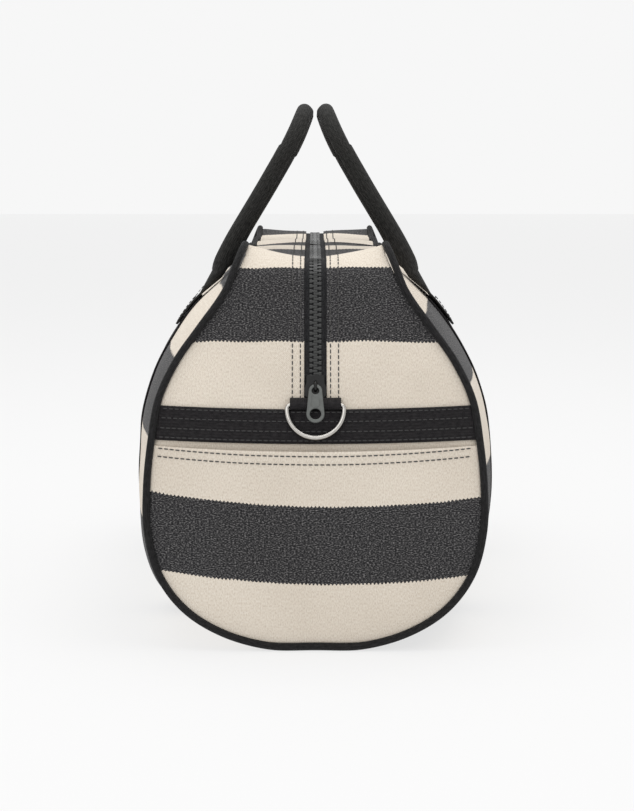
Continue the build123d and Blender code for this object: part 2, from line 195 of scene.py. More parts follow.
def wrap_surface(v, s):
    """The body panel: v from -1 (left seam) through 0 (underside) to 1 (right seam), s from -1
    (near seam) to 1 (far seam)."""
    v, s = np.broadcast_arrays(np.asarray(v, float), np.asarray(s, float))
    t = np.abs(v)
    seam = along(SEAM_LINE, t)
    middle = along(MID_LINE, t)
    full = 1 - np.abs(s) ** BULGE_POWER
    x = seam[..., 0] + (middle[..., 0] - seam[..., 0]) * full
    z = seam[..., 1] + (middle[..., 1] - seam[..., 1]) * full
    y = s * (END_Y - end_depth(seam[..., 1]))
    side = np.sign(v)
    open_cloth = smooth_step(1 - np.abs(s), 0, 0.25) * smooth_step(1 - t, 0, 0.2)
    above = smooth_step(t, 0.12, 0.3)
    folds = 2.6 * rough(side * t * HALF_GIRTH, y * 0.45, 0 * x, 95, 3.1) - 0.8
    creases = 0.9 * rough(side * t * HALF_GIRTH, y, 0 * x, 34, 9.7)
    near_seam = np.exp(-(1 - np.abs(s)) * 250 / 9) + np.exp(-(1 - t) * HALF_GIRTH / 8)
    puckers = 0.5 * near_seam * rough(t * HALF_GIRTH, y, 0 * x, 7.5, 5.3)
    out = (folds + creases) * open_cloth * above + puckers * above
    slack = 1.8 * smooth_step(t, 0.72, 0.95) * open_cloth * np.sin(2 * np.pi * y / 122)
    x = x + side * (out + slack) * 0.9
    z = z + seam_lift(y) * smooth_step(t, 0.8, 1.0) * smooth_step(CREST_Y + 8 - np.abs(y), 0, 20)
    return np.stack([x * np.where(v < 0, -1, 1), y, z], -1)


def seam_curve(steps):
    """The near seam from the middle of one top seam round the end to the middle of the other."""
    top_y = np.linspace(0, -CREST_Y, 60)[:-1]
    left_top = np.stack([0 * top_y - SEAM_TOP_X, top_y, SEAM_TOP_Z + seam_lift(top_y)], -1)
    v = np.linspace(-1, 1, steps)
    ring = along(SEAM_LINE, np.abs(v))
    lift = seam_lift(-CREST_Y) * smooth_step(np.abs(v), 0.93, 1)
    y = -END_Y + end_depth(ring[:, 1])
    end = np.stack([ring[:, 0] * np.sign(v), y, ring[:, 1] + lift], -1)
    right_top = left_top[::-1] * np.array([-1, 1, 1])
    return np.vstack([left_top, end, right_top])


def seam_x(z):
    """Half width of the end between its seams at height z."""
    line = along(SEAM_LINE, np.linspace(0, 1, 300))
    return np.interp(z, line[:, 1], line[:, 0])


def seam_half_width(travel):
    """Half width of the gusset after travelling up the end."""
    _, z, _, _ = end_profile(travel)
    width = seam_x(np.minimum(z, SEAM_TOP_Z))
    return np.where(travel > STRAIGHT + CREST_LEN * 0.6, np.minimum(width, SEAM_TOP_X + 1), width)


# ---- mesh builders ---------------------------------------------------------------------------

def add_mesh(name, verts, faces, cloth=None, smooth=True):
    """A mesh object from points in millimetres, with cloth coordinates in metres for its material."""
    mesh = bpy.data.meshes.new(name)
    mesh.from_pydata((np.asarray(verts, float) * MM).tolist(), [], [list(f) for f in faces])
    if cloth is not None:
        layer = mesh.attributes.new("cloth", "FLOAT_VECTOR", "POINT")
        layer.data.foreach_set("vector", np.asarray(cloth, np.float32).ravel())
    if smooth:
        mesh.shade_smooth()
    mesh.update()
    piece = bpy.data.objects.new(name, mesh)
    bpy.context.scene.collection.objects.link(piece)
    return piece


def grid_faces(rows, cols, closed=False, start=0):
    """Quads of a grid of points, row by row."""
    faces = []
    last = cols if closed else cols - 1
    for r in range(rows - 1):
        for c in range(last):
            d = (c + 1) % cols
            faces.append((start + r * cols + c, start + r * cols + d,
                          start + (r + 1) * cols + d, start + (r + 1) * cols + c))
    return faces


def grid_normals(points):
    """Unit normals of a grid of points, rows by columns."""
    du = np.gradient(points, axis=0)
    dv = np.gradient(points, axis=1)
    n = np.cross(du, dv)
    return n / np.maximum(np.linalg.norm(n, axis=-1, keepdims=True), 1e-9)


def sheet_piece(name, points, cloth, thickness, outward):
    """Cloth with two faces and a rim; outward is a rough direction that its face looks in."""
    rows, cols = points.shape[:2]
    normals = grid_normals(points)
    flip = np.mean(np.sum(normals * outward, -1)) < 0
    if flip:
        normals = -normals
    inner = points - normals * thickness
    verts = np.vstack([points.reshape(-1, 3), inner.reshape(-1, 3)])
    count = rows * cols
    front = grid_faces(rows, cols)
    back = [tuple(reversed([i + count for i in f])) for f in front]
    edge = list(range(cols)) + [r * cols + cols - 1 for r in range(1, rows)]
    edge += [(rows - 1) * cols + c for c in range(cols - 2, -1, -1)]
    edge += [r * cols for r in range(rows - 2, 0, -1)]
    rim = []
    for a, b in zip(edge, edge[1:] + edge[:1]):
        rim.append((b, a, a + count, b + count))
    faces = front + back + rim
    if flip:
        faces = [tuple(reversed(f)) for f in faces]
    coords = np.vstack([cloth.reshape(-1, 3)] * 2)
    return add_mesh(name, verts, faces, coords)


def tube_piece(name, path, radius, sides=14):
    """A round bar along a path of points."""
    path = np.asarray(path, float)
    tangent = np.gradient(path, axis=0)
    tangent /= np.linalg.norm(tangent, axis=1, keepdims=True)
    side = np.cross(tangent[0], [0.0, 0.3, 1.0])
    rings = []
    coords = []
    run = np.concatenate([[0], np.cumsum(np.linalg.norm(np.diff(path, axis=0), axis=1))])
    for p, t, length in zip(path, tangent, run):
        side = side - t * np.dot(side, t)
        side /= np.linalg.norm(side)
        up = np.cross(t, side)
        for k in range(sides):
            a = 2 * math.pi * k / sides
            rings.append(p + radius * (math.cos(a) * side + math.sin(a) * up))
            coords.append((length * MM, radius * a * MM, 0))
    faces = grid_faces(len(path), sides, closed=True)
    faces.append(tuple(reversed(range(sides))))
    faces.append(tuple(range((len(path) - 1) * sides, len(path) * sides)))
    return add_mesh(name, rings, faces, coords)


def block(center, axes, half, chamfer):
    """Points and faces of a chamfered block; axes are three unit vectors, half its half sizes."""
    verts = []
    for level, shrink in ((-1, chamfer), (-1 + 2 * chamfer, 0), (1 - 2 * chamfer, 0), (1, chamfer)):
        for a, b in ((-1, -1), (1, -1), (1, 1), (-1, 1)):
            offset = [a * half[0] * (1 - shrink), b * half[1] * (1 - shrink), level * half[2]]
            verts.append(center + sum(o * ax for o, ax in zip(offset, axes)))
    faces = [(3, 2, 1, 0), (12, 13, 14, 15)]
    for ring in range(3):
        for k in range(4):
            n = (k + 1) % 4
            faces.append((ring * 4 + k, ring * 4 + n, ring * 4 + 4 + n, ring * 4 + 4 + k))
    return verts, faces


def blocks_piece(name, blocks):
    """One mesh from many chamfered blocks."""
    verts = []
    faces = []
    for args in blocks:
        v, f = block(*args)
        faces += [tuple(i + len(verts) for i in face) for face in f]
        verts += v
    return add_mesh(name, verts, faces, np.zeros((len(verts), 3)), smooth=False)


def stitches(lines, length=3.0, gap=1.3, width=0.42):
    """Blocks for rows of stitches; each line is (points, outward normals)."""
    found = []
    for points, normals in lines:
        points = np.asarray(points, float)
        run = np.concatenate([[0], np.cumsum(np.linalg.norm(np.diff(points, axis=0), axis=1))])
        at = gap
        while at + length < run[-1]:
            ends = [np.array([np.interp(q, run, points[:, k]) for k in range(3)])
                    for q in (at, at + length)]
            out = np.array([np.interp(at + length / 2, run, np.asarray(normals)[:, k]) for k in range(3)])
            way = ends[1] - ends[0]
            size = np.linalg.norm(way)
            way = way / size
            out = out - way * np.dot(out, way)
            out = out / np.linalg.norm(out)
            found.append((sum(ends) / 2, (np.cross(out, way), out, way), (width, 0.3, size / 2), 0.25))
            at += length + gap
    return found


# ---- materials --------------------------------------------------------------------------------

def new_material(name):
    """An empty node material and its shader."""
    material = bpy.data.materials.new(name)
    material.use_nodes = True
    shader = material.node_tree.nodes["Principled BSDF"]
    return material, material.node_tree, shader


def math_node(tree, operation, first, second=None, third=None):
    """A maths node fed with sockets or plain numbers."""
    made = tree.nodes.new("ShaderNodeMath")
    made.operation = operation
    for i, value in enumerate((first, second, third)):
        if value is None:
            continue
        if isinstance(value, (int, float)):
            made.inputs[i].default_value = value
        else:
            tree.links.new(value, made.inputs[i])
    return made.outputs[0]


def cloth_axes(tree):
    """Sockets for the cloth's own two directions in metres and its stripe count."""
    attribute = tree.nodes.new("ShaderNodeAttribute")
    attribute.attribute_name = "cloth"
    split = tree.nodes.new("ShaderNodeSeparateXYZ")
    tree.links.new(attribute.outputs["Vector"], split.inputs[0])
    return attribute.outputs["Vector"], split.outputs


def noise_node(tree, vector, scale, detail=4.0, stretch=(1, 1, 1)):
    """Noise over a vector, stretched along its axes."""
    mapping = tree.nodes.new("ShaderNodeMapping")
    mapping.inputs["Scale"].default_value = stretch
    tree.links.new(vector, mapping.inputs["Vector"])
    made = tree.nodes.new("ShaderNodeTexNoise")
    made.inputs["Scale"].default_value = scale
    made.inputs["Detail"].default_value = detail
    tree.links.new(mapping.outputs[0], made.inputs["Vector"])
    return made.outputs["Fac"]


def ramp(tree, factor, stops):
    """Colour ramp from (position, colour) stops."""
    made = tree.nodes.new("ShaderNodeValToRGB")
    while len(made.color_ramp.elements) < len(stops):
        made.color_ramp.elements.new(0.5)
    for element, (position, colour) in zip(made.color_ramp.elements, stops):
        element.position = position
        element.color = (*colour, 1)
    tree.links.new(factor, made.inputs[0])
    return made.outputs[0]


def blend_colours(tree, factor, first, second):
    """Mix of two colour sockets."""
    made = tree.nodes.new("ShaderNodeMix")
    made.data_type = "RGBA"
    tree.links.new(factor, made.inputs[0])
    tree.links.new(first, made.inputs[6])
    tree.links.new(second, made.inputs[7])
    return made.outputs[2]


def bump(tree, shader, height, distance, strength=1.0, below=None):
    """Bump from a height socket, on top of another bump if given."""
    made = tree.nodes.new("ShaderNodeBump")
    made.inputs["Distance"].default_value = distance
    made.inputs["Strength"].default_value = strength
    tree.links.new(height, made.inputs["Height"])
    if below is not None:
        tree.links.new(below, made.inputs["Normal"])
    tree.links.new(made.outputs[0], shader.inputs["Normal"])
    return made.outputs[0]


def triangle_wave(tree, value, pitch):
    """A wave from 0 to 1 and back with the given pitch."""
    return math_node(tree, "PINGPONG", math_node(tree, "DIVIDE", value, pitch / 2), 1.0)


def weave(tree, axes, pitch):
    """Height of a plain weave: threads over and under in both directions."""
    over = math_node(tree, "SINE", math_node(tree, "MULTIPLY", axes[0], 2 * math.pi / pitch))
    under = math_node(tree, "SINE", math_node(tree, "MULTIPLY", axes[1], 2 * math.pi / pitch))
    return math_node(tree, "MULTIPLY", over, under)


def canvas_material():
    """Heavy canvas: cream with heathered charcoal stripes whose edges are stepped by the weave."""
    material, tree, shader = new_material("striped_canvas")
    vector, axes = cloth_axes(tree)
    saw = math_node(tree, "SUBTRACT", triangle_wave(tree, axes[0], 0.0028), 0.5)
    stepped = math_node(tree, "MULTIPLY_ADD", saw, 0.022, axes[2])
    wander = math_node(tree, "SUBTRACT", noise_node(tree, vector, 60.0, 2.0), 0.5)
    count = math_node(tree, "MULTIPLY_ADD", wander, 0.03, stepped)
    phase = math_node(tree, "FRACT", math_node(tree, "MULTIPLY", count, 0.5))
    edge = math_node(tree, "GREATER_THAN", phase, 0.5)
    threads = noise_node(tree, vector, 1150.0, 4.0, (1.0, 0.5, 0.0))
    cross = noise_node(tree, vector, 1250.0, 5.0, (0.55, 1.0, 0.0))
    cream = ramp(tree, threads, [(0.3, (0.63, 0.55, 0.46)), (0.5, (0.75, 0.675, 0.575)),
                                 (0.7, (0.82, 0.76, 0.67))])
    charcoal = ramp(tree, cross, [(0.40, (0.012, 0.012, 0.013)), (0.50, (0.034, 0.033, 0.035)),
                                  (0.60, (0.115, 0.112, 0.112)), (0.72, (0.26, 0.25, 0.25))])
    colour = blend_colours(tree, edge, cream, charcoal)
    soil = noise_node(tree, vector, 9.0, 3.0, (1, 1, 0))
    shade = ramp(tree, soil, [(0.3, (0.90, 0.89, 0.88)), (0.65, (1, 1, 1))])
    tinted = tree.nodes.new("ShaderNodeMix")
    tinted.data_type = "RGBA"
    tinted.blend_type = "MULTIPLY"
    tinted.inputs[0].default_value = 1.0
    tree.links.new(colour, tinted.inputs[6])
    tree.links.new(shade, tinted.inputs[7])
    tree.links.new(tinted.outputs[2], shader.inputs["Base Color"])
    shader.inputs["Roughness"].default_value = 0.9
    shader.inputs["Sheen Weight"].default_value = 0.12
    shader.inputs["Sheen Roughness"].default_value = 0.5
    shader.inputs["Specular IOR Level"].default_value = 0.15
    first = bump(tree, shader, weave(tree, axes, 0.0014), 0.00012, 0.6)
    bump(tree, shader, threads, 0.0003, 0.4, first)
    return material


def webbing_material(name, dark, light, rib):
    """Ribbed webbing or tape; the ribs run across its length."""
    material, tree, shader = new_material(name)
    vector, axes = cloth_axes(tree)
    fibres = noise_node(tree, vector, 700.0, 3.0, (0.4, 1.0, 0.0))
    colour = ramp(tree, fibres, [(0.35, dark), (0.7, light)])
    tree.links.new(colour, shader.inputs["Base Color"])
    shader.inputs["Roughness"].default_value = 0.75
    shader.inputs["Sheen Weight"].default_value = 0.04
    shader.inputs["Specular IOR Level"].default_value = 0.2
    ribs = math_node(tree, "SINE", math_node(tree, "MULTIPLY", axes[0], 2 * math.pi / rib))
    cords = math_node(tree, "SINE", math_node(tree, "MULTIPLY", axes[1], 2 * math.pi / (rib * 1.4)))
    first = bump(tree, shader, math_node(tree, "ADD", ribs, cords), 0.00016, 0.7)
    bump(tree, shader, fibres, 0.0003, 0.5, first)
    return material


def plain_material(name, colour, rough_value, metal=0.0):
    """Moulded plastic or plated metal with slight unevenness."""
    material, tree, shader = new_material(name)
    wear = 0.04
    place = tree.nodes.new("ShaderNodeTexCoord")
    grain = noise_node(tree, place.outputs["Object"], 300.0, 4.0)
    low = [max(c * (1 - wear * 3), 0) for c in colour]
    high = [min(c * (1 + wear * 3), 1) for c in colour]
    tree.links.new(ramp(tree, grain, [(0.3, low), (0.7, high)]), shader.inputs["Base Color"])
    shader.inputs["Metallic"].default_value = metal
    spread = tree.nodes.new("ShaderNodeMapRange")
    spread.inputs["To Min"].default_value = max(rough_value - wear * 2, 0.02)
    spread.inputs["To Max"].default_value = rough_value + wear * 2
    tree.links.new(grain, spread.inputs["Value"])
    tree.links.new(spread.outputs[0], shader.inputs["Roughness"])
    bump(tree, shader, grain, 0.00005, 0.35)
    return material


CANVAS = canvas_material()
WEBBING = webbing_material("black_webbing", (0.007, 0.006, 0.007), (0.020, 0.018, 0.019), 0.0016)
HANDLE_WEB = webbing_material("handle_webbing", (0.010, 0.010, 0.009), (0.034, 0.033, 0.031), 0.0012)
PIPING_CLOTH = webbing_material("black_piping", (0.006, 0.006, 0.006), (0.020, 0.019, 0.020), 0.0011)
TAPE = webbing_material("zip_tape", (0.010, 0.010, 0.011), (0.026, 0.026, 0.028), 0.0012)
LINING = webbing_material("lining_cloth", (0.075, 0.072, 0.070), (0.12, 0.115, 0.11), 0.0008)
RESIN = plain_material("zip_resin", (0.020, 0.021, 0.020), 0.28)
ENAMEL = plain_material("black_enamel", (0.02, 0.02, 0.02), 0.32, 0.6)
GUNMETAL = plain_material("gunmetal", (0.125, 0.13, 0.125), 0.36, 1.0)
NICKEL = plain_material("nickel", (0.52, 0.50, 0.47), 0.14, 1.0)
THREAD_DARK = plain_material("thread_dark", (0.05, 0.048, 0.046), 0.7)
THREAD_BLACK = plain_material("thread_black", (0.026, 0.025, 0.025), 0.6)


def dress(piece, material, slot_name, *nodes):
    """Give a piece its material and let it stand for its CAD nodes; slot_name is not used."""
    piece.data.materials.clear()
    piece.data.materials.append(material)
    if nodes:
        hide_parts(*nodes)


# ---- pieces: end is -1 for the near end and 1 for the far end, side is -1 left and 1 right ---

END_NAMES = {-1: "near", 1: "far"}
SIDE_NAMES = {-1: "left", 1: "right"}


def gusset_point(end, side, travel, x, depth=0.0):
    """Points on the gusset's outer face (or depth inside it) and its outward normals there."""
    travel, x = np.broadcast_arrays(np.asarray(travel, float), np.asarray(x, float))
    y, z, ny, nz = zip_profile(end, travel)
    width = seam_half_width(travel)
    q = np.clip((x - ZIP_GAP_X) / (width - ZIP_GAP_X), 0, 1)
    top = smooth_step(travel, STRAIGHT, STRAIGHT + CREST_LEN)
    swell = np.sin(np.pi * q) * (2.2 - 1.6 * top)
    waves = 1.5 * rough(side * x, end * travel, 0 * x, 38, 2.2) * (0.35 + 0.65 * q) * (1 - q ** 6)
    near_zip = 0.35 * np.exp(-q * width / 9) * rough(side * x * 0.3, end * travel, 0 * x, 7, 6.1)
    free = smooth_step(travel, 25, 62)
    rise = ((swell + waves) * free + near_zip) * smooth_step(x, 4, 14) - depth
    z = z + (seam_lift(y) - zip_lift(y)) * q ** 1.6 * smooth_step(travel, STRAIGHT - 8, STRAIGHT + CREST_LEN)
    points = np.stack([side * x, y + ny * rise, z + nz * rise], -1)
    normals = np.stack([0 * x, ny, nz], -1)
    return points, normals


def twist(piece):
    """Bake the piece's placement into its mesh."""
    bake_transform(piece)


def gusset(end, side):
    """Half of the gusset from the band over the crest to the middle of the top."""
    name = f"{END_NAMES[end]}_{SIDE_NAMES[side]}"
    travel = np.linspace(13, TOP_TRAVEL, 190)[:, None]
    q = np.linspace(0, 1, 34)[None, :]
    width = seam_half_width(travel)
    x = ZIP_GAP_X + q * (width - ZIP_GAP_X)
    points, normals = gusset_point(end, side, travel + 0 * q, x)
    length = travel + 0 * q
    if end > 0:
        length = 2 * TOP_TRAVEL - length
    wavy = (1.0 + 1.6 * smooth_step(travel, 90, 125)) * rough(side * x, length, 0 * x, 30, 4.4)
    count = (length - GUSSET_FIRST_STRIPE + wavy) / GUSSET_STRIPE + 1
    cloth = np.stack([side * x * MM, length * MM, count], -1)
    piece = sheet_piece("gusset_" + name, points, cloth, 1.6, normals)
    dress(piece, CANVAS, "striped_canvas", "end_gusset_" + name, "top_gusset_" + SIDE_NAMES[side])
    twist(piece)


def zip_tape(end, side):
    """Half of the zip tape from under the band to the middle of the top."""
    name = f"{END_NAMES[end]}_{SIDE_NAMES[side]}"
    travel = np.linspace(15, TOP_TRAVEL, 150)[:, None]
    x = np.linspace(1.0, TAPE_X, 8)[None, :]
    points, normals = gusset_point(end, side, travel + 0 * x, x + 0 * travel, TAPE_DEPTH - 0.4)
    cloth = np.stack([(travel + 0 * x) * MM, (x + 0 * travel) * MM, 0 * (x + travel)], -1)
    piece = sheet_piece("zip_tape_" + name, points, cloth, 0.8, normals)
    dress(piece, TAPE, "zip_tape", "end_zip_tape_" + name, "top_zip_tape_" + SIDE_NAMES[side])
    twist(piece)


def zip_teeth(end, side):
    """Chunky moulded teeth of one side of the zip."""
    name = f"{END_NAMES[end]}_{SIDE_NAMES[side]}"
    start = TEETH_START + (0 if side < 0 else TOOTH_PITCH / 2)
    blocks = []
    for travel in np.arange(start, TOP_TRAVEL - 1.0, TOOTH_PITCH):
        ahead = np.stack(zip_profile(end, np.array([travel - 1, travel, travel + 1])), -1)
        way = np.array([0, *(ahead[2, :2] - ahead[0, :2])])
        way = way / np.linalg.norm(way)
        out = np.array([0, -end * way[2], end * way[1]])
        if out[2] < 0:
            out = -out
        at = np.array([0, *ahead[1, :2]]) - out * TAPE_DEPTH
        across = np.array([side, 0, 0.0])
        if np.dot(np.cross(across, out), way) < 0:
            way = -way
        blocks.append((at + across * 1.5, (across, out, way), (2.9, 1.35, 0.92), 0.16))
        blocks.append((at + across * 3.5, (across, out, way), (0.95, 1.5, 1.35), 0.16))
    piece = blocks_piece("zip_teeth_" + name, blocks)
    dress(piece, RESIN, "zip_resin", "end_zip_teeth_" + name, "top_zip_teeth_" + SIDE_NAMES[side])
    twist(piece)


def zip_stitching(end, side):
    """Two rows of topstitching beside the zip."""
    lines = []
    for x in TOPSTITCH_X:
        travel = np.linspace(27, TOP_TRAVEL, 260)
        points, normals = gusset_point(end, side, travel, x + 0 * travel, -0.1)
        lines.append((points, normals))
    piece = blocks_piece(f"zip_stitching_{END_NAMES[end]}_{SIDE_NAMES[side]}", stitches(lines))
    dress(piece, THREAD_DARK, "striped_canvas")
    twist(piece)


def wrap():
    """The striped body panel from one top seam under the bag to the other."""
    v = np.linspace(-1, 1, 321)[:, None]
    s = np.linspace(-1, 1, 181)[None, :]
    points = wrap_surface(v + 0 * s, s + 0 * v)
    middle = wrap_surface(np.linspace(-1, 1, 321), 0 * np.linspace(-1, 1, 321))
    run = np.concatenate([[0], np.cumsum(np.linalg.norm(np.diff(middle, axis=0), axis=1))])
    run = run[:, None] + 0 * s
    count = (run - WRAP_FIRST_STRIPE) / WRAP_STRIPE
    cloth = np.stack([points[..., 1] * MM, run * MM, count], -1)
    piece = sheet_piece("wrap", points, cloth, 1.8, points - BODY_CENTRE)
    dress(piece, CANVAS, "striped_canvas", "body_wrap")
    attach(piece, "bag")


def wrap_offset(v, s, out):
    """Points standing off the body panel, with its outward normals."""
    step = 0.004
    points = wrap_surface(v, s)
    du = wrap_surface(v + step, s) - wrap_surface(v - step, s)
    dv = wrap_surface(v, s + step) - wrap_surface(v, s - step)
    n = np.cross(dv, du)
    n /= np.linalg.norm(n, axis=-1, keepdims=True)
    outward = points - BODY_CENTRE
    outward[..., 1] = 0
    n *= np.sign(np.sum(n * outward, -1, keepdims=True))
    return points + n * out, n


def strap_share(v, y):
    """Where along the seam-to-seam direction the body panel reaches y."""
    seam_z = along(SEAM_LINE, np.abs(v))[..., 1]
    return y / (END_Y - end_depth(seam_z))


def strap(end):
    """Webbing strap round the body under both handles."""
    v = np.linspace(-0.855, 0.855, 220)[:, None]
    y = end * STRAP_Y + np.linspace(-WEB_HALF, WEB_HALF, 9)[None, :]
    v, y = np.broadcast_arrays(v, y)
    points, normals = wrap_offset(v, strap_share(v, y), 1.6)
    points[..., 2] = np.maximum(points[..., 2], 0.1)
    cloth = np.stack([v * HALF_GIRTH * MM, y * MM, 0 * v], -1)
    piece = sheet_piece("strap_" + END_NAMES[end], points, cloth, 1.4, normals)
    dress(piece, WEBBING, "black_webbing", "body_strap_" + END_NAMES[end])
    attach(piece, "bag")


def handle_line(side):
    """Middle line of a handle and the direction its webbing's face looks in, for the near half."""
    rows = []
    faces = []
    for v in np.linspace(HANDLE_START_V, HANDLE_STOP_V, 12):
        at, n = wrap_offset(np.array(side * v), strap_share(np.array(side * v), np.array(-STRAP_Y)), 3.1)
        rows.append([at[0] * side, -STRAP_Y, at[2]])
        faces.append([n[0] * side, 0, n[2]])
    leg = LEG_LEN - HANDLE_BEND_R
    steps = [(h, -STRAP_Y) for h in np.linspace(2, leg, 40)]
    for a in np.linspace(0, math.pi / 2, 18)[1:]:
        steps.append((leg + HANDLE_BEND_R * math.sin(a), -STRAP_Y + HANDLE_BEND_R * (1 - math.cos(a))))
    steps += [(LEG_LEN, y) for y in np.linspace(-STRAP_Y + HANDLE_BEND_R, 0, 22)[1:]]
    for h, y in steps:
        x, z = along(LEG, h / LEG_LEN)
        bx, bz = along(LEG, min(h / LEG_LEN + 0.02, 1)) - along(LEG, max(h / LEG_LEN - 0.02, 0))
        size = math.hypot(bx, bz)
        sag = (y / 80) ** 2 if h > leg else 0
        rows.append([x, y, z - sag])
        faces.append([bz / size, 0, -bx / size])
    return np.array(rows), np.array(faces)


def handle(side):
    """Handle: flat sewn ends that roll up into a tube of webbing."""
    rows, faces = handle_line(side)
    rows = np.vstack([rows, (rows * [1, -1, 1])[::-1][1:]])
    faces = np.vstack([faces, faces[::-1][1:]])
    tangent = np.gradient(rows, axis=0)
    tangent /= np.linalg.norm(tangent, axis=1, keepdims=True)
    run = np.concatenate([[0], np.cumsum(np.linalg.norm(np.diff(rows, axis=0), axis=1))])
    ends = np.minimum(run, run[-1] - run)
    rolled = smooth_step(ends, 30, 62)
    verts = []
    cloth = []
    sides = 28
    for p, t, f, roll, length in zip(rows, tangent, faces, rolled, run):
        f = f - t * np.dot(f, t)
        f /= np.linalg.norm(f)
        w = np.cross(t, f)
        half_w = WEB_HALF - 0.8 + (HANDLE_R - WEB_HALF + 0.8) * roll
        half_t = 0.9 + (HANDLE_R - 0.9) * roll
        sharp = 0.35 + 0.65 * roll
        for k in range(sides):
            a = 2 * math.pi * k / sides
            c, s = math.cos(a), math.sin(a)
            c = math.copysign(abs(c) ** sharp, c)
            s = math.copysign(abs(s) ** sharp, s)
            lap = 1 + 0.16 * roll * math.exp(-((a - math.pi * 1.36) / 0.34) ** 2)
            wobble = 1 + 0.03 * roll * math.sin(length / 19 + side)
            verts.append(p + w * half_w * c * lap * wobble + f * half_t * s * lap)
            cloth.append((length * MM, a * HANDLE_R * MM, 0))
    verts = np.array(verts) * [side, 1, 1]
    quads = grid_faces(len(rows), sides, closed=True)
    quads.append(tuple(reversed(range(sides))))
    quads.append(tuple(range((len(rows) - 1) * sides, len(rows) * sides)))
    if side < 0:
        quads = [tuple(reversed(f)) for f in quads]
    name = SIDE_NAMES[side]
    piece = add_mesh("handle_" + name, verts, quads, cloth)
    dress(piece, HANDLE_WEB, "black_webbing", "handle_" + name, "handle_core_" + name,
          "handle_end_near_" + name, "handle_end_far_" + name)
    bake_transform(piece)


def band(end):
    """Black webbing band across the end with its rows of stitching."""
    travel = np.linspace(0, BAND_W, 12)[:, None]
    q = np.linspace(-1, 1, 90)[None, :]
    width = seam_x(LEAN_Z + travel) - 1.0
    x = q * width
    bow = 3.0 * (x / HALF_WIDTH) ** 2
    points, normals = gusset_face(end, travel + bow, x, 1.7)
    cloth = np.stack([x * MM, (travel + 0 * x) * MM, 0 * x], -1)
    piece = sheet_piece("band_" + END_NAMES[end], points, cloth, 1.6, normals)
    dress(piece, WEBBING, "black_webbing", "end_band_" + END_NAMES[end])
    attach(piece, "bag")
    lines = []
    for row in (2.2, 9.0, 16.4, 23.2):
        x = np.linspace(-1, 1, 90) * (seam_x(LEAN_Z + row) - 3)
        lines.append(gusset_face(end, row + 3.0 * (x / HALF_WIDTH) ** 2, x, 1.8))
    seams = blocks_piece("band_stitching_" + END_NAMES[end], stitches(lines))
    dress(seams, THREAD_BLACK, "black_webbing")
    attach(seams, "bag")


def gusset_face(end, travel, x, out):
    """Points standing off the end's slope, for pieces that lie across both gusset halves."""
    y, z, ny, nz = end_profile(travel)
    y, z, ny, nz, x = np.broadcast_arrays(y, z, ny, nz, x)
    wave = 0.5 * rough(x, z, 0 * x, 40, 1.3)
    points = np.stack([x, end * (y + ny * (out + wave)), z + nz * (out + wave)], -1)
    return points, np.stack([0 * x, end * ny, nz], -1)


def pocket_swell(x, z, width):
    """How far the pocket panel stands off the end panel."""
    across = np.clip(1 - (np.abs(x) / width) ** 2.2, 0, 1) ** 0.75
    up = 1 - np.exp(-(z - 4) / 16)
    slack = 0.8 * rough(x, z, 0 * x, 46, 8.1)
    return 0.8 + (7.0 * across * up + slack * across)


def hem_bow(x):
    """How much higher the pocket's hem runs towards the seams."""
    return 3.6 * (x / HALF_WIDTH) ** 2


def pocket(end):
    """Slip pocket panel with an open hem, standing a little off the end."""
    z = np.concatenate([np.linspace(5.2, 30, 18), np.linspace(31, POCKET_TOP_Z, 70)])[:, None]
    q = np.linspace(-1, 1, 100)[None, :]
    width = seam_x(z) - 0.4
    x = q * width
    z = z + hem_bow(x) * smooth_step(z, 60, POCKET_TOP_Z)
    out = pocket_swell(x, z, width)
    points = np.stack([x, end * (END_Y + out), z], -1)
    bow = 7.5 * (x / HALF_WIDTH) ** 2 - 2.0 * (x / HALF_WIDTH)
    count = 1 + (z - POCKET_STRIPE_Z[1] - bow) / (POCKET_STRIPE_Z[0] - POCKET_STRIPE_Z[1])
    cloth = np.stack([x * MM, z * MM, count], -1)
    outward = np.array([0, end, 0.0])
    piece = sheet_piece("pocket_" + END_NAMES[end], points, cloth, 1.2, outward)
    dress(piece, CANVAS, "striped_canvas", "slip_pocket_" + END_NAMES[end])
    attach(piece, "bag")
    lines = []
    for row in (POCKET_TOP_Z - 3.4, POCKET_TOP_Z - 9.4):
        x = np.linspace(-1, 1, 120) * (seam_x(row) - 4)
        high = row + 1.5 * hem_bow(x)
        out = pocket_swell(x, high, seam_x(row) - 0.4) + 0.15
        lines.append((np.stack([x, end * (END_Y + out), high], -1), outward + 0 * x[:, None]))
    seams = blocks_piece("pocket_stitching_" + END_NAMES[end], stitches(lines))
    dress(seams, THREAD_DARK, "striped_canvas")
    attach(seams, "bag")


def end_panel(end):
    """Plain canvas behind the slip pocket."""
    z = np.linspace(5.2, 168, 60)[:, None]
    q = np.linspace(-1, 1, 40)[None, :]
    x = q * (seam_x(z) - 0.6)
    z = z + 0 * q
    points = np.stack([x, end * (END_Y - end_depth(z) - 0.2), z], -1)
    cloth = np.stack([x * MM, z * MM, 0.5 + 0 * x], -1)
    piece = sheet_piece("end_panel_" + END_NAMES[end], points, cloth, 1.4, np.array([0, end, 0.0]))
    dress(piece, CANVAS, "cream_canvas", "end_panel_" + END_NAMES[end])
    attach(piece, "bag")


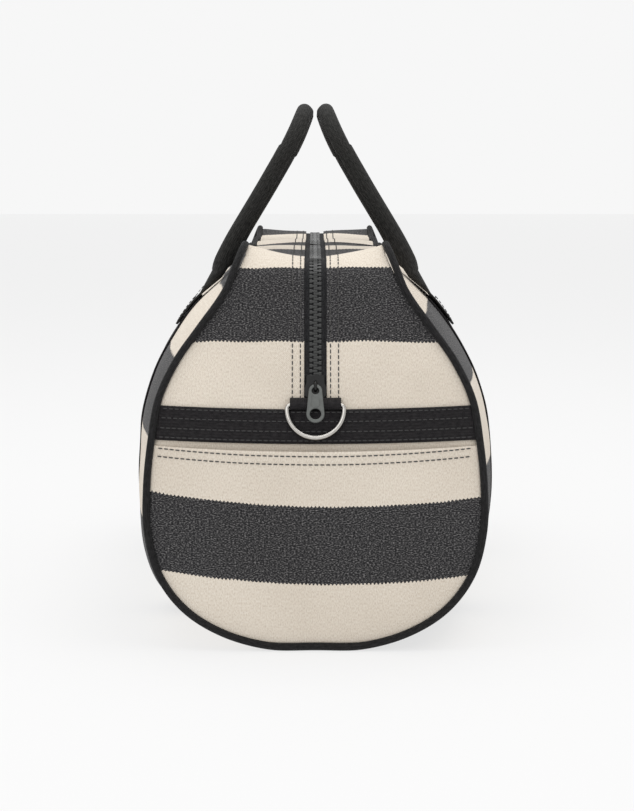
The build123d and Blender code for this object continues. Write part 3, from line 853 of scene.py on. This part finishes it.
def piping(end):
    """Corded piping round the seam of one end and along half of each top seam."""
    line = seam_curve(260)
    out = np.stack([np.sign(line[:, 0]), -np.ones(len(line)), 0 * line[:, 0]], -1)
    width = np.clip(np.abs(line[:, 0]) / 124, 0, 1)
    out[:, 0] *= np.where(line[:, 2] < 60, width, 1)
    crest = smooth_step(line[:, 2], 262, 288)
    out[:, 1] *= 1 - crest
    out[:, 2] = crest * 1.0 - (1 - smooth_step(line[:, 2], 3, 60)) * 0.9
    out /= np.linalg.norm(out, axis=1, keepdims=True)
    line = line + out * PIPING_OUT * 1.1
    line[:, 1] *= -end
    piece = tube_piece("piping_" + END_NAMES[end], line, PIPING_R)
    dress(piece, PIPING_CLOTH, "black_piping", "piping_" + END_NAMES[end])
    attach(piece, "bag")


def ring_tab(end):
    """Webbing folded round the ring's bar and sewn down under the zip's end."""
    loop = [(34.0, 1.9), (32.4, 3.7), (31.0, 5.3)]
    for a in np.radians(np.linspace(50, 270, 16)):
        loop.append((RING_POS + TAB_LOOP_R * math.cos(a), RING_OUT + TAB_LOOP_R * math.sin(a)))
    loop += [(31.0, 0.1), (34.0, 0.1)]
    loop = np.array(loop)
    x = np.linspace(-WEB_HALF, WEB_HALF, 24)[None, :]
    y, z, ny, nz = end_profile(loop[:, 0:1] + 0 * x)
    out = loop[:, 1:2]
    points = np.stack([x + 0 * out, end * (y + ny * out), z + nz * out], -1)
    ring_y, ring_z, _, _ = end_profile(RING_POS)
    centre = np.array([0, end * float(ring_y), float(ring_z)])
    centre = centre + np.array([0, end * math.cos(LEAN), math.sin(LEAN)]) * RING_OUT
    outward = (points - centre) * np.array([0, 1, 1])
    cloth = np.stack([(x + 0 * out) * MM, (loop[:, 0:1] + out + 0 * x) * MM, 0 * (x + out)], -1)
    piece = sheet_piece("ring_tab_" + END_NAMES[end] + "_fold", points, cloth, 1.0, outward)
    dress(piece, WEBBING, "black_webbing", "ring_tab_" + END_NAMES[end])
    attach(piece, "bag")


def handle_stitching(side):
    """Boxes of stitching on the sewn-down handle ends."""
    lines = []
    for end in (-1, 1):
        for shift in (-15.5, 15.5):
            v = side * np.linspace(0.787, 0.845, 30)
            y = end * STRAP_Y + shift + 0 * v
            lines.append(wrap_offset(v, strap_share(v, y), 4.1))
        for level in (0.788, 0.844):
            y = end * STRAP_Y + np.linspace(-15.5, 15.5, 30)
            v = side * level + 0 * y
            lines.append(wrap_offset(v, strap_share(v, y), 4.1))
    piece = blocks_piece("handle_stitching_" + SIDE_NAMES[side], stitches(lines))
    dress(piece, THREAD_BLACK, "black_webbing")
    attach(piece, "bag")


def linings():
    """Lining of the body and of both ends, seen when the mouth is open."""
    v = np.linspace(-0.975, 0.975, 120)[:, None]
    s = np.linspace(-0.975, 0.975, 60)[None, :]
    v, s = np.broadcast_arrays(v, s)
    points, normals = wrap_offset(v, s, -3.4)
    cloth = np.stack([points[..., 1] * MM, v * HALF_GIRTH * MM, 0 * v], -1)
    body = sheet_piece("lining_body", points, cloth, 0.5, -normals)
    dress(body, LINING, "lining_cloth", "lining")
    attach(body, "bag")
    for end in (-1, 1):
        z = np.linspace(9, 168, 40)[:, None]
        q = np.linspace(-1, 1, 30)[None, :]
        x = q * (seam_x(z) - 4)
        z = z + 0 * q
        points = np.stack([x, end * (END_Y - end_depth(z) - 3.0), z], -1)
        cloth = np.stack([x * MM, z * MM, 0 * x], -1)
        piece = sheet_piece("lining_" + END_NAMES[end], points, cloth, 0.5, np.array([0, -end, 0.0]))
        dress(piece, LINING, "lining_cloth")
        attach(piece, "bag")


def flat_shape(name, outlines, thickness, bevel):
    """A plate with rounded edges from closed outlines; the ones after the first are holes."""
    curve = bpy.data.curves.new(name, "CURVE")
    curve.dimensions = "2D"
    curve.fill_mode = "BOTH"
    curve.extrude = (thickness / 2 - bevel) * MM
    curve.bevel_depth = bevel * MM
    curve.bevel_resolution = 3
    for points in outlines:
        spline = curve.splines.new("POLY")
        spline.points.add(len(points) - 1)
        for target, (x, y) in zip(spline.points, points):
            target.co = (x * MM, y * MM, 0, 1)
        spline.use_cyclic_u = True
    drawn = bpy.data.objects.new(name + "_drawn", curve)
    bpy.context.scene.collection.objects.link(drawn)
    bpy.context.view_layer.update()
    mesh = bpy.data.meshes.new_from_object(drawn.evaluated_get(bpy.context.evaluated_depsgraph_get()))
    bpy.data.objects.remove(drawn)
    mesh.name = name
    piece = bpy.data.objects.new(name, mesh)
    bpy.context.scene.collection.objects.link(piece)
    return piece


def arc_points(x, y, radius, start, stop, steps):
    """Points of an arc, in degrees."""
    angles = np.radians(np.linspace(start, stop, steps))
    return [(x + radius * math.cos(a), y + radius * math.sin(a)) for a in angles]


def on_slope(along_slope, out):
    """A point in the near end's middle plane, in metres."""
    y = -END_Y + along_slope * math.sin(LEAN) - out * math.cos(LEAN)
    z = LEAN_Z + along_slope * math.cos(LEAN) + out * math.sin(LEAN)
    return Vector((0, y, z)) * MM


def puller():
    """Puller narrower at its head, with a round eye at the head and a round hole at its foot."""
    slant = math.degrees(math.asin((PULL_FOOT_R - PULL_HEAD_R) / (PULL_HEAD_Y - PULL_FOOT_Y)))
    outline = arc_points(0, PULL_HEAD_Y, PULL_HEAD_R, slant, 180 - slant, 18)
    outline += arc_points(0, PULL_FOOT_Y, PULL_FOOT_R, 180 - slant, 360 + slant, 26)
    eye = arc_points(0, PULL_HEAD_Y, PULL_EYE_R, 0, 360, 25)[:-1]
    hole = arc_points(0, PULL_FOOT_Y, PULL_HOLE_R, 0, 360, 29)[:-1]
    panel = arc_points(0, -10.2, 2.6, 20, 160, 8) + arc_points(0, -13.6, 3.3, 200, 340, 10)
    for name, outlines, thickness, bevel in (("puller_plate", [outline, eye, hole], 1.6, 0.5),
                                             ("puller_panel", [panel], 1.9, 0.3)):
        piece = flat_shape(name, outlines, thickness, bevel)
        piece.rotation_euler = (math.pi / 2 - math.radians(PULL_REST_DEG), 0, 0)
        piece.location = on_slope(SLIDER_POS, PULL_AXIS_OUT)
        dress(piece, GUNMETAL, "gunmetal", "zip_puller")
        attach(piece, "puller")


def slider():
    """Slider body with a rounded nose and an arched lug for the puller."""
    plan = [(-5.6, 8.0), (5.6, 8.0), (6.4, 6.8), (6.3, 2.6), (7.7, -1.0), (7.7, -6.6), (6.4, -8.0),
            (-6.4, -8.0), (-7.7, -6.6), (-7.7, -1.0), (-6.3, 2.6), (-6.4, 6.8)]
    turn = math.pi / 2 - LEAN
    for name, out in (("slider_face", -TAPE_DEPTH + PLATE_OUT), ("slider_back", -TAPE_DEPTH - PLATE_OUT)):
        plate = flat_shape(name, [plan], PLATE_T, 0.5)
        plate.rotation_euler = (turn, 0, 0)
        plate.location = on_slope(SLIDER_POS, out)
        dress(plate, ENAMEL, "black_enamel", "zip_slider")
        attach(plate, "slider")
    for name, x in (("slider_flank_left", -1), ("slider_flank_right", 1)):
        flank = [(5.1, 7.4), (6.1, 7.0), (6.1, 2.4), (7.3, -1.2), (7.3, -7.0), (5.1, -7.4)]
        rail = flat_shape(name, [[(x * across, high) for across, high in flank]], 2 * PLATE_OUT, 0.3)
        rail.rotation_euler = (turn, 0, 0)
        rail.location = on_slope(SLIDER_POS, -TAPE_DEPTH)
        dress(rail, ENAMEL, "black_enamel")
        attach(rail, "slider")
    path = []
    for a in np.radians(np.linspace(0, 180, 19)):
        out = -TAPE_DEPTH + 2.9 + 4.6 * math.sin(a) ** 0.6
        path.append(np.array(on_slope(SLIDER_POS + LUG_HALF_LEN * math.cos(a), out)) / MM)
    lug = tube_piece("slider_lug", path, 1.25, 12)
    dress(lug, ENAMEL, "black_enamel")
    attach(lug, "slider")


for end in (-1, 1):
    end_panel(end)
    pocket(end)
    band(end)
    piping(end)
    ring_tab(end)
    strap(end)
    for side in (-1, 1):
        gusset(end, side)
        zip_tape(end, side)
        zip_teeth(end, side)
        zip_stitching(end, side)
for side in (-1, 1):
    handle(side)
    handle_stitching(side)
wrap()
linings()

slider()
puller()

for name in ("d_ring_near", "d_ring_far"):
    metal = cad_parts[name]
    metal.data.materials.clear()
    metal.data.materials.append(NICKEL)


# ---- setting ----------------------------------------------------------------------------------

def glowing_material(name, colour, glow):
    """A pale matt surface that partly lights itself, so that it stays even."""
    material, _, shader = new_material(name)
    shader.inputs["Base Color"].default_value = (colour, colour, colour, 1)
    shader.inputs["Roughness"].default_value = 1.0
    shader.inputs["Specular IOR Level"].default_value = 0.0
    shader.inputs["Emission Color"].default_value = (1, 1, 1, 1)
    shader.inputs["Emission Strength"].default_value = glow
    return material


def backdrop():
    """Pale floor and a plain pale wall far behind the bag."""
    reach = 9000
    front = -4000
    rear = 14000
    floor_points = [(-reach, front, 0), (reach, front, 0), (reach, rear, 0), (-reach, rear, 0)]
    floor = add_mesh("floor", floor_points, [(0, 1, 2, 3)], smooth=False)
    floor.data.materials.append(glowing_material("floor", 0.22, 0.70))
    wall_points = [(-reach, rear, -10), (reach, rear, -10), (reach, rear, reach), (-reach, rear, reach)]
    wall = add_mesh("wall", wall_points, [(0, 1, 2, 3)], smooth=False)
    wall.data.materials.append(glowing_material("wall", 0.0, 0.93))


def area_light(name, place, target, size, power):
    """Soft square light looking at a target."""
    data = bpy.data.lights.new(name, "AREA")
    data.shape = "RECTANGLE"
    data.size, data.size_y = size
    data.energy = power
    lamp = bpy.data.objects.new(name, data)
    lamp.location = place
    lamp.rotation_euler = (Vector(target) - Vector(place)).to_track_quat("-Z", "Y").to_euler()
    bpy.context.scene.collection.objects.link(lamp)


def setting():
    """Studio light, backdrop and the camera in front of the near end."""
    backdrop()
    world = bpy.data.worlds.new("world")
    world.use_nodes = True
    world.node_tree.nodes["Background"].inputs["Color"].default_value = (1, 1, 1, 1)
    world.node_tree.nodes["Background"].inputs["Strength"].default_value = 0.78
    bpy.context.scene.world = world
    area_light("top", (0, -0.1, 2.2), (0, 0, 0.2), (2.4, 2.0), 26)
    area_light("front", (-0.7, -2.6, 1.7), (0, 0, 0.2), (1.8, 1.4), 9)
    bpy.context.scene.view_settings.view_transform = "Standard"
    data = bpy.data.cameras.new("camera")
    data.sensor_fit = "VERTICAL"
    data.sensor_height = 36
    data.lens = 82.6
    data.shift_x = 0.0049
    data.shift_y = -0.288
    camera = bpy.data.objects.new("camera", data)
    camera.location = (-0.0018, -1.621, 0.353)
    camera.rotation_euler = (math.pi / 2, 0, 0)
    bpy.context.scene.collection.objects.link(camera)
    bpy.context.scene.camera = camera


setting()
